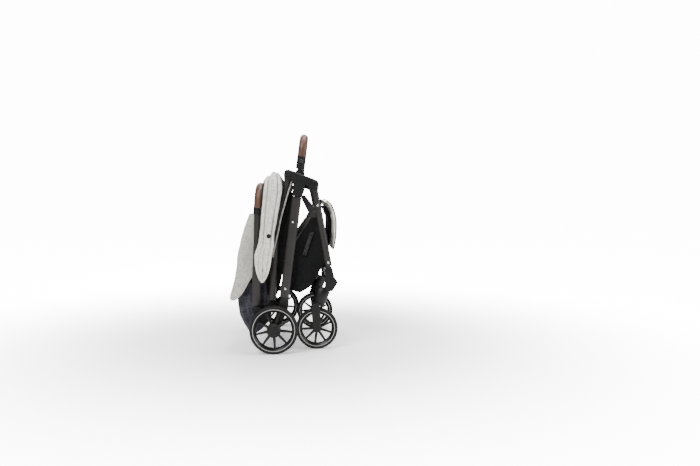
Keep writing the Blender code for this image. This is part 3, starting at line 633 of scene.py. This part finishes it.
def pad(name, spine, half_width, thick, material, channels, cap_mm=6.0, voxel=5.0):
    """A stuffed board along a spine of (x, z) points: a crowned form, blown up as cloth, then sewn in channels
    across at the given shares of its length."""
    line = np.array(spine, float)
    lengths = np.concatenate([[0], np.cumsum(np.linalg.norm(np.diff(line, axis=0), axis=1))])
    places = np.linspace(0, lengths[-1], PAD_ROWS)
    x = np.interp(places, lengths, line[:, 0])
    z = np.interp(places, lengths, line[:, 1])
    ahead = np.stack([np.gradient(x), np.gradient(z)], axis=1)
    ahead /= np.linalg.norm(ahead, axis=1, keepdims=True)
    shape = bmesh.new()
    layers = []
    for face in (1, -1):
        grid = []
        for i, share in enumerate(np.linspace(-1, 1, len(places))):
            row = []
            for v in np.linspace(-1, 1, PAD_COLUMNS):
                crown = (1 - abs(share) ** 5) ** 0.5 * (1 - abs(v) ** 8) ** 0.5
                lift = face * thick / 2 * crown
                pull = 1 - 0.012 * (1 - share * share)
                row.append(shape.verts.new(Vector((x[i] - ahead[i, 1] * lift, half_width * v * pull,
                                                   z[i] + ahead[i, 0] * lift)) * MM))
            grid.append(row)
        layers.append(grid)
    for grid, flip in zip(layers, (False, True)):
        for i in range(len(places) - 1):
            for j in range(PAD_COLUMNS - 1):
                corners = (grid[i][j], grid[i][j + 1], grid[i + 1][j + 1], grid[i + 1][j])
                shape.faces.new(corners[::-1] if flip else corners)
    bmesh.ops.remove_doubles(shape, verts=shape.verts, dist=0.2 * MM)
    bmesh.ops.recalc_face_normals(shape, faces=shape.faces)
    mesh = bpy.data.meshes.new(name)
    shape.to_mesh(mesh)
    shape.free()
    piece = show(name, mesh)
    remesh = piece.modifiers.new("remesh", "REMESH")
    remesh.mode = "VOXEL"
    remesh.voxel_size = voxel * MM
    graph = bpy.context.evaluated_depsgraph_get()
    solid = bpy.data.meshes.new_from_object(piece.evaluated_get(graph), depsgraph=graph)
    piece.modifiers.clear()
    piece.data = solid
    before = np.array([v.co for v in solid.vertices])
    sim = piece.modifiers.new("cloth", "CLOTH")
    sim.settings.use_pressure = True
    sim.settings.uniform_pressure_force = SIM_PRESSURE
    sim.settings.effector_weights.gravity = 0.0
    sim.point_cache.frame_start = 1
    sim.point_cache.frame_end = SIM_FRAMES
    for step in range(1, SIM_FRAMES + 1):
        bpy.context.scene.frame_set(step)
    graph = bpy.context.evaluated_depsgraph_get()
    blown = piece.evaluated_get(graph).to_mesh()
    after = np.array([v.co for v in blown.vertices])
    move = after - before
    far = np.linalg.norm(move, axis=1, keepdims=True)
    move *= np.minimum(1.0, cap_mm * MM / np.maximum(far, 1e-9))
    piece.modifiers.clear()
    solid.vertices.foreach_set("co", (before + move).ravel())
    bpy.context.scene.frame_set(1)
    solid.update()
    spots = np.array([v.co for v in solid.vertices]) / MM
    normals = np.array([v.normal for v in solid.vertices])
    nearest = np.argmin((spots[:, 0:1] - x[None, :]) ** 2 + (spots[:, 2:3] - z[None, :]) ** 2, axis=1)
    run = places[nearest] / lengths[-1]
    groove = np.zeros(len(spots))
    for share in channels:
        groove += np.exp(-(((run - share) * lengths[-1]) / CHANNEL_WIDTH) ** 2)
    edge = np.exp(-((half_width - SEAM_INSET - np.abs(spots[:, 1])) / SEAM_WIDTH) ** 2)
    spots -= normals * (CHANNEL_DEPTH * np.minimum(groove, 1.0) + SEAM_DEPTH * edge)[:, None]
    solid.vertices.foreach_set("co", (spots * MM).ravel())
    solid.polygons.foreach_set("use_smooth", [True] * len(solid.polygons))
    solid.materials.clear()
    solid.materials.append(material)
    soften(piece)
    return piece


OUTER_LAYER = [(112, 441.5), (125.5, 438.5), (140, 421.5), (149.0, 385), (148.0, 335), (140.5, 292)]
calf = pad("calf_rest_pad", OUTER_LAYER, 155.0, 11.0, pad_heather, (0.3,), cap_mm=3.0, voxel=4.0)
fit(calf, "calf_rest", "calf_rest")
INNER_LAYER = [(113, 430), (118, 427), (127.5, 415), (136.5, 385), (135.5, 337), (128.5, 298)]
lining = pad("calf_rest_lining", INNER_LAYER, 150.0, 6.0, pad_black, (0.3,), cap_mm=2.0, voxel=3.0)
fit(lining, "calf_rest")

SEAT_SLOPE = Vector((131.0, 193.5)).normalized()
SEAT_FRONT = Vector((103.5, 429.0))
seat_spine = [tuple(SEAT_FRONT - SEAT_SLOPE * run) for run in (0, 60, 120, 185)]
seat = pad("seat_cushion", seat_spine, 157.0, 11.0, pad_black, (0.3, 0.62))
fit(seat, "seat", "seat_pad")

BACK_SPINE = [(-33, 462), (-42.5, 400), (-48.5, 330), (-50, 262), (-53.5, 192)]
back = pad("backrest_cushion", BACK_SPINE, 164.0, 12.0, pad_black, (0.24, 0.5, 0.76), cap_mm=4.0)
fit(back, "lower_push", "backrest")


def offset(path, distance):
    """A path of (x, z) points moved sideways, to the left of its run."""
    line = np.array(path, float)
    ahead = np.gradient(line, axis=0)
    ahead /= np.linalg.norm(ahead, axis=1, keepdims=True)
    return line + np.stack([-ahead[:, 1], ahead[:, 0]], axis=1) * distance


def smooth(points, steps=8):
    """Points on a soft curve through the given points, of any number of coordinates."""
    pins = np.array(points, float)
    pins = np.concatenate([2 * pins[:1] - pins[1:2], pins, 2 * pins[-1:] - pins[-2:-1]])
    curve = []
    for a, b, c, d in zip(pins, pins[1:], pins[2:], pins[3:]):
        for t in np.arange(steps) / steps:
            curve.append(0.5 * (2 * b + (c - a) * t + (2 * a - 5 * b + 4 * c - d) * t * t
                                + (3 * b - a - 3 * c + d) * t ** 3))
    return np.array(curve + [pins[-2]])


# A welt of black piping closes the calf rest's seam, and wings of black polyester join backrest and seat.
CALF_SPINE = [(112, 440), (124, 437), (137.5, 421), (147, 385), (146, 335), (138, 293)]
calf_line = smooth(CALF_SPINE)
# Bias tape pulled round a cord: black, with a faint line of light along its crown.
piping_cloth = woven("bound_piping", "#0d0d0d", "#181818", 1.4, space="Object", shine=0.1)


def rod(name, path, sizes, material, sides=24, across=(0, 1, 0)):
    """A round or oval bar along a path in mm, with closed, rounded ends. sizes are its half width and depth.
    Its UV map runs in metres, round and along."""
    line = np.array(path, float)
    ahead = np.gradient(line, axis=0)
    ahead /= np.linalg.norm(ahead, axis=1, keepdims=True)
    reach = np.concatenate([[0], np.cumsum(np.linalg.norm(np.diff(line, axis=0), axis=1))])
    across = np.array(across, float)
    stations = [(0, -0.6, 0.35), (0, -0.35, 0.75), (0, -0.1, 0.95)]
    stations += [(i, 0.0, 1.0) for i in range(len(line))]
    stations += [(len(line) - 1, 0.1, 0.95), (len(line) - 1, 0.35, 0.75), (len(line) - 1, 0.6, 0.35)]
    shape = bmesh.new()
    sheet = shape.loops.layers.uv.new("UVMap")
    rings = []
    for i, push, grow in stations:
        side = np.cross(ahead[i], across)
        side = side / np.linalg.norm(side)
        up = np.cross(side, ahead[i])
        centre = line[i] + ahead[i] * push * min(sizes) * 0.5
        ring = []
        for k in range(sides):
            turn = math.tau * k / sides
            spot = centre + grow * (side * sizes[0] * math.cos(turn) + up * sizes[1] * math.sin(turn))
            ring.append(shape.verts.new(Vector(spot) * MM))
        rings.append((ring, reach[i] + push * min(sizes)))
    girth = math.tau * (sizes[0] + sizes[1]) / 2
    for (ring, low), (after, high) in zip(rings, rings[1:]):
        for k in range(sides):
            m = (k + 1) % sides
            face = shape.faces.new((ring[k], ring[m], after[m], after[k]))
            face.smooth = True
            for loop, (u, v) in zip(face.loops, ((k, low), (k + 1, low), (k + 1, high), (k, high))):
                loop[sheet].uv = (u / sides * girth * MM, v * MM)
    shape.faces.new(rings[0][0][::-1])
    shape.faces.new(rings[-1][0])
    bmesh.ops.recalc_face_normals(shape, faces=shape.faces)
    mesh = bpy.data.meshes.new(name)
    shape.to_mesh(mesh)
    shape.free()
    mesh.materials.append(material)
    return show(name, mesh)


for side, way in SIDES.items():
    welt = [(x, 153.5 * way, z) for x, z in offset(calf_line, 7.0)[2:-1]]
    piece = rod("calf_rest_piping_" + side, welt, (1.9, 1.9), piping_cloth, 12)
    fit(piece, "calf_rest")

WING_REAR = [(166, -52), (206, -55), (262, -52), (330, -49), (400, -42), (455, -31), (468, -28)]
WING_FRONT = [(166, -26), (195, -12), (228, -6), (262, -3), (300, 2), (350, 9), (400, 16), (455, 23),
              (468, 27)]
for side, way in SIDES.items():
    rows = []
    for z in np.linspace(468, 166, 40):
        ends = level(WING_REAR, z), level(WING_FRONT, z)
        rows.append([(ends[0] + u * (ends[1] - ends[0]), 178.6 * way, z) for u in np.linspace(0, 1, 12)])
    rows = crumple(rows, 1.6, (20.0, 40.0, 50.0), 9.0 + way)
    rows[:, :, 1] = way * np.clip(np.abs(rows[:, :, 1]), 176.0, 178.9)
    piece, cut, area = cloth("backrest_wing_" + side, rows, black_cloth, 1.0)
    declare_sheet(piece, "lower_push")

# Skirts of the seat cover: black polyester from the seat's rails down to the basket, creased along the fold.
# Each point is (share of the way to the front, x, z).
SKIRT_TOP = [(0, -9, 256), (0.25, 22, 304), (0.5, 53, 350), (0.75, 84, 396), (1, 108, 437)]
SKIRT_LOW = [(0, -4, 238), (0.12, 4, 205), (0.3, 16, 180), (0.5, 46, 170), (0.7, 76, 188), (0.86, 106, 238),
             (1, 123, 268)]
for side, way in SIDES.items():
    rows = []
    for down in np.linspace(0, 1, 30):
        row = []
        for share in np.linspace(0, 1, 30):
            top = [level([(p[0], p[k]) for p in SKIRT_TOP], share) for k in (1, 2)]
            low = [level([(p[0], p[k]) for p in SKIRT_LOW], share) for k in (1, 2)]
            row.append((top[0] + down * (low[0] - top[0]), (179.4 - 4.0 * math.sin(math.pi * down)) * way,
                        top[1] + down * (low[1] - top[1])))
        rows.append(row)
    rows = crumple(rows, 3.0, (36.0, 40.0, 60.0), 6.0 + way)
    rows[:, :, 1] = way * np.clip(np.abs(rows[:, :, 1]), 170.0, 180.0)
    piece, cut, area = cloth("seat_skirt_" + side, rows, black_cloth, 1.0)
    declare_sheet(piece, "seat")

# ---------------------------------------------------------------- basket
# An open bag of black polyester below the seat, sewn round a drawstring hem, that sags between its corners.

BASKET_TOP, BASKET_DROP = 326, 140
BASKET_X, BASKET_HALF_LENGTH, BASKET_HALF_WIDTH = 61, 44, 158
BOTTOM_FROM, BOTTOM_Z = 0.86, 203
BASKET_STEPS = 72


def boxy(value):
    """A sine or cosine pushed outwards, so that it gives a rectangle with round corners."""
    return math.copysign(abs(value) ** 0.42, value)


rows = []
for down in np.linspace(0, 1, 22):
    if down < BOTTOM_FROM:
        z = BASKET_TOP - BASKET_DROP * down ** 0.9
        shrink = 1 - 0.20 * down ** 2
    else:
        under = (down - BOTTOM_FROM) / (1 - BOTTOM_FROM)
        z = BOTTOM_Z - 18 * under
        shrink = (1 - 0.148) * (1 - 0.97 * under)
    turns = [math.tau * k / BASKET_STEPS for k in range(BASKET_STEPS + 1)]
    rows.append([(BASKET_X + BASKET_HALF_LENGTH * shrink * boxy(math.cos(turn)) + 6 * down,
                  BASKET_HALF_WIDTH * shrink * boxy(math.sin(turn)), z) for turn in turns])
rows = crumple(rows, 3.2, (40.0, 60.0, 45.0), 11.0)
rows[:, -1] = rows[:, 0]
piece, cut, area = cloth("basket_bag", rows, black_cloth, 1.0)
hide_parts("basket")
declare_sheet(piece, "rear_frame")
hem_path = [Vector(spot) + Vector((0, 0, 0.5)) for spot in rows[0][:-1]]
hem = rod("basket_hem", hem_path, (2.6, 2.6), piping_cloth, 10, across=(0, 0, 1))
fit(hem, "rear_frame")

# ---------------------------------------------------------------- handle and bumper bar
# Both bars are bent tubes wrapped in brown leatherette: PVC on a knit, embossed with a fine grain, pulled round
# the bar and closed with a row of thread on the side that the palm meets. Nylon collars cover its ends.

# Warm brown with a soft band of light along the bar, broken by the fine creases between the grain's cells. The
# cells are drawn at 2.2 mm, twice the real size, so that they show.
leatherette, tree, shader = new_material("brown_leatherette_wrap")
shader.inputs["Specular IOR Level"].default_value = 0.42
place = add_node(tree, "ShaderNodeTexCoord").outputs["Object"]
hide = add_node(tree, "ShaderNodeTexNoise", {"Vector": place, "Scale": 1000 / 38, "Detail": 5.0})
shade = add_node(tree, "ShaderNodeMix", {0: hide.outputs["Fac"], 6: linear("#352014"), 7: linear("#543625")},
                 data_type="RGBA")
tree.links.new(shade.outputs[2], shader.inputs["Base Color"])
cell = add_node(tree, "ShaderNodeTexVoronoi", {"Vector": place, "Scale": 1000 / 2.2},
                feature="DISTANCE_TO_EDGE")
crease = add_node(tree, "ShaderNodeMapRange", {"Value": cell.outputs["Distance"], "From Max": 0.12})
relief = add_node(tree, "ShaderNodeBump", {"Height": crease.outputs["Result"], "Strength": 0.35,
                                           "Distance": 0.12 * MM})
tree.links.new(relief.outputs["Normal"], shader.inputs["Normal"])
gloss = add_node(tree, "ShaderNodeMapRange", {"Value": hide.outputs["Fac"], "From Min": 0.3, "From Max": 0.7,
                                              "To Min": 0.44, "To Max": 0.54})
tree.links.new(gloss.outputs["Result"], shader.inputs["Roughness"])

# Thick and slightly waxed, a shade darker than the wrap.
thread = grained("waxed_thread", "#2b1710", "#3f2419", 0.8, 0.1, (0.5, 0.6))

# Stitches of a set length and spacing along an edge, each a small spindle that lies on the path.
stitch_tree, given, stitch_ids = geometry_tree("stitch_row", spacing=6.0 * MM, length=4.2 * MM,
                                               radius=0.7 * MM)
seam_path = add_node(stitch_tree, "GeometryNodeMeshToCurve", {"Mesh": given.outputs["Geometry"]})
stops = add_node(stitch_tree, "GeometryNodeResampleCurve", {"Curve": seam_path.outputs[0],
                                                            "Length": given.outputs["spacing"]}, mode="LENGTH")
spindle = add_node(stitch_tree, "GeometryNodeMeshUVSphere", {"Segments": 8, "Rings": 6, "Radius": 0.5})
girth = add_node(stitch_tree, "ShaderNodeMath", {0: given.outputs["radius"], 1: 2.0}, operation="MULTIPLY")
spindle_size = add_node(stitch_tree, "ShaderNodeCombineXYZ", {0: girth.outputs[0], 1: girth.outputs[0],
                                                              2: given.outputs["length"]})
heading = add_node(stitch_tree, "GeometryNodeInputTangent")
lie = add_node(stitch_tree, "FunctionNodeAlignRotationToVector", {"Vector": heading.outputs[0]}, axis="Z")
sewn = add_node(stitch_tree, "GeometryNodeInstanceOnPoints",
                {"Points": stops.outputs[0], "Instance": spindle.outputs["Mesh"], "Rotation": lie.outputs[0],
                 "Scale": spindle_size.outputs[0]})
end_tree(stitch_tree, sewn, thread)


def stitches(name, paths, body, slot, **sizes):
    """Rows of stitches along paths of points in mm, on one body. sizes are in metres."""
    mesh = bpy.data.meshes.new(name)
    spots = []
    edges = []
    for path in paths:
        edges += [(len(spots) + i, len(spots) + i + 1) for i in range(len(path) - 1)]
        spots += [Vector(spot) * MM for spot in path]
    mesh.from_pydata(spots, edges, [])
    fit(grown(name, mesh, stitch_tree, stitch_ids, **sizes), body)


def bar_path(foot, top, half_width, corner):
    """A bent bar in mm: up one side, round a corner, across, and down the other side."""
    foot = np.array(foot)
    lean = np.array(top) - foot
    height = np.linalg.norm(lean)
    lean /= height
    half = [(0.0, -half_width)]
    if height - corner > 4:
        half.append(((height - corner) / 2, -half_width))
    half += [(height - corner + corner * math.sin(a), corner - half_width - corner * math.cos(a))
             for a in np.linspace(0, math.pi / 2, 15)]
    half += [(height, y) for y in np.linspace(corner - half_width, 0, 9)[1:]]
    run = half + [(up, -y) for up, y in reversed(half[:-1])]
    return [(foot[0] + lean[0] * up, y, foot[1] + lean[1] * up) for up, y in run], lean


BAR_HALF_WIDTH = 191.0
for title, node, foot, top, corner, radius, body in (
        ("handle_wrap", "handle_grip", (-73.0, 422.0), (-68.6, 482.0), 42.0, 15.0, "upper_push"),
        ("bumper_wrap", "bumper_grip", (51.9, 572.0), (59.2, 627.5), 40.0, 12.5, "bumper")):
    run, lean = bar_path(foot, top, BAR_HALF_WIDTH, corner)
    run = smooth(run, 2)
    piece = rod(title, run, (radius, radius), leatherette, 36, across=(-lean[1], 0, lean[0]))
    fit(piece, body, node)
    ahead = np.gradient(run, axis=0)
    ahead /= np.linalg.norm(ahead, axis=1, keepdims=True)
    inside = np.cross(ahead, np.array((-lean[1], 0, lean[0])))
    if inside[len(inside) // 2][2] > 0:
        inside = -inside
    stitches(title + "_seam", [run[3:-3] + inside[3:-3] * (radius + 0.2)], body, "brown_leatherette",
             spacing=7.0 * MM, length=5.0 * MM, radius=0.9 * MM)

# Smoother nylon than the blocks', so the buttons catch a little more light; the harness button is pale grey.
button_nylon = grained("button_nylon", "#1b1b1b", "#262626", 1.0, 0.04, (0.36, 0.46))
finish_nodes(button_nylon, "bumper_button")
button_grey = grained("grey_button_nylon", "#8d8d8b", "#9c9c9a", 1.0, 0.04, (0.36, 0.46))
finish_nodes(button_grey, "buckle_button")

# ---------------------------------------------------------------- straps, bindings and seams
# Grey piping edges the push tubes, and dark ribbed webbing carries the harness and ties the seat's side. The
# flap's hem is run with pale thread, and a black press stud sits on each side of the canopy.

# Piping reads as one matt grey line; the webbing's ribs are drawn at 2.4 mm so that they show as faint rungs.
grey_piping = woven("grey_piping", "#777672", "#9d9c97", 1.4, space="Object")
dark_webbing = woven("dark_webbing", "#141414", "#2f2e2d", 2.4, relief_mm=0.5, fleck=(5.0, 9.0), shine=0.12)
TUBE_EDGE = [(22.7, 497), (12, 465), (2.3, 432), (-9, 392), (-17.3, 352), (-27, 310), (-33.3, 279)]
SIDE_STRAP = [(82.6, 351), (74, 330), (66, 305), (59, 282)]
STUD = [(0.01, 223.0), (5.5, 223.0), (6.5, 224.2), (5.0, 226.4), (0.01, 226.8)]
STUD_PLACE = (-43.0, 0, 341.0)
for side, way in SIDES.items():
    edge = [(x, 201.0 * way, z) for x, z in smooth(TUBE_EDGE, 6)]
    piece = rod("push_tube_piping_" + side, edge, (2.3, 2.3), grey_piping, 12)
    fit(piece, "lower_push")
    line = smooth(SIDE_STRAP, 6)
    rows = [[(x, 181.0 * way, z) for x, z in offset(line, 5.5 * (2 * t - 1))] for t in np.linspace(0, 1, 5)]
    piece, cut, area = cloth("seat_side_strap_" + side, rows, dark_webbing, 1.2)
    declare_sheet(piece, "seat")
    stud = lathe("canopy_stud_" + side, [(r, y * way) for r, y in STUD], STUD_PLACE, nylon, 32)
    fit(stud, "canopy_front")

for side, way in SIDES.items():
    line = offset(smooth(BACK_SPINE), 8.5)
    rows = [[(x, 62.0 * way + w, z) for x, z in line[4:]] for w in np.linspace(-17, 17, 7)]
    rows = crumple(rows, 0.8, (30, 30, 30), 2.0)
    piece, cut, area = cloth("shoulder_strap_" + side, rows, dark_webbing, 2.0)
    declare_sheet(piece, "lower_push")

# Unwaxed thread, a shade lighter than the cloth, so the hem shows as fine dashes.
light_thread = grained("pale_thread", "#8f8e88", "#a3a29b", 0.8, 0.1, (0.6, 0.7))
stitch_tree.nodes["Set Material"].inputs["Material"].default_value = light_thread
# The hem runs 3 mm above the flap's edge, lifted clear of the cloth: backwards, or outwards on the wings.
WING_FROM = 180
LIFT = 0.9
hem_line = [(x, y + math.copysign(LIFT, y), z + 3) if abs(y) > WING_FROM else (x - LIFT, y, z + 3)
            for x, y, z in flap_rows[-2]]
stitches("back_flap_hem", [hem_line], "upper_push", "grey_fabric", spacing=8.0 * MM, length=5.5 * MM,
         radius=0.6 * MM)

# ---------------------------------------------------------------- studio
# A plain pale floor that runs on without an edge, under large soft lights, and a camera at eye height to the
# right of the stroller.

ROOM_LIGHT = 0.22
BACKDROP_LIGHT = 14.0
FLOOR_GLOW = (0.35, BACKDROP_LIGHT)
CLEAR_RADIUS = (0.3, 1.6)
FLOOR_REACH = 14
floor_paint = grained("studio_floor", "#f4f4f3", "#fafaf9", 3.0, 0.01, (0.55, 0.65), patch_mm=900.0)
# Seen directly, the floor brightens away from the stroller into the backdrop. It lights nothing itself.
tree = floor_paint.node_tree
shader = tree.nodes["Principled BSDF"]
shader.inputs["Emission Color"].default_value = (1.0, 1.0, 1.0, 1.0)
spot = add_node(tree, "ShaderNodeTexCoord").outputs["Object"]
far = add_node(tree, "ShaderNodeVectorMath", {0: spot}, operation="LENGTH")
glow = add_node(tree, "ShaderNodeMapRange", {"Value": far.outputs["Value"], "From Min": CLEAR_RADIUS[0],
                                             "From Max": CLEAR_RADIUS[1], "To Min": FLOOR_GLOW[0],
                                             "To Max": FLOOR_GLOW[1]}, interpolation_type="SMOOTHSTEP")
direct = add_node(tree, "ShaderNodeLightPath")
power = add_node(tree, "ShaderNodeMath", {0: direct.outputs["Is Camera Ray"], 1: glow.outputs["Result"]},
                 operation="MULTIPLY")
tree.links.new(power.outputs[0], shader.inputs["Emission Strength"])
mesh = bpy.data.meshes.new("studio_floor")
corners = [(x * FLOOR_REACH, y * FLOOR_REACH, 0) for x, y in ((-1, -1), (1, -1), (1, 1), (-1, 1))]
mesh.from_pydata(corners, [], [(0, 1, 2, 3)])
mesh.materials.append(floor_paint)
floor = show("studio_floor", mesh)

world = bpy.data.worlds.new("studio")
world.use_nodes = True
tree = world.node_tree
room = tree.nodes["Background"]
room.inputs["Color"].default_value = (1.0, 1.0, 1.0, 1.0)
room.inputs["Strength"].default_value = ROOM_LIGHT
backdrop = add_node(tree, "ShaderNodeBackground", {"Color": (1.0, 1.0, 1.0, 1.0),
                                                   "Strength": BACKDROP_LIGHT})
seen = add_node(tree, "ShaderNodeLightPath")
either = add_node(tree, "ShaderNodeMixShader", {0: seen.outputs["Is Camera Ray"], 1: room.outputs[0],
                                                2: backdrop.outputs[0]})
tree.links.new(either.outputs[0], tree.nodes["World Output"].inputs["Surface"])
bpy.context.scene.world = world


def soft_light(name, place, target, power, width):
    """A square soft box at place, aimed at target, both in metres."""
    light = bpy.data.lights.new(name, "AREA")
    light.energy = power
    light.size = width
    holder = bpy.data.objects.new(name, light)
    bpy.context.scene.collection.objects.link(holder)
    holder.location = place
    holder.rotation_euler = (Vector(target) - Vector(place)).to_track_quat("-Z", "Y").to_euler()


middle = (0.0, 0.0, 0.3)
soft_light("soft_box_key", (-1.3, -2.0, 2.6), middle, 150.0, 1.3)
soft_light("soft_box_top", (0.5, 0.3, 2.9), middle, 130.0, 1.6)
soft_light("soft_box_right", (2.6, -0.9, 1.3), middle, 60.0, 1.2)
soft_light("soft_box_back", (-0.6, 2.4, 1.6), middle, 60.0, 1.5)

camera = bpy.data.cameras.new("camera")
camera.sensor_width = 36.0
camera.lens = 32.9
eye = bpy.data.objects.new("camera", camera)
bpy.context.scene.collection.objects.link(eye)
eye.location = (0.052, -2.0686, 0.4357)
eye.rotation_euler = (math.radians(90 - 2.67), 0, math.radians(-4.3))
bpy.context.scene.camera = eye
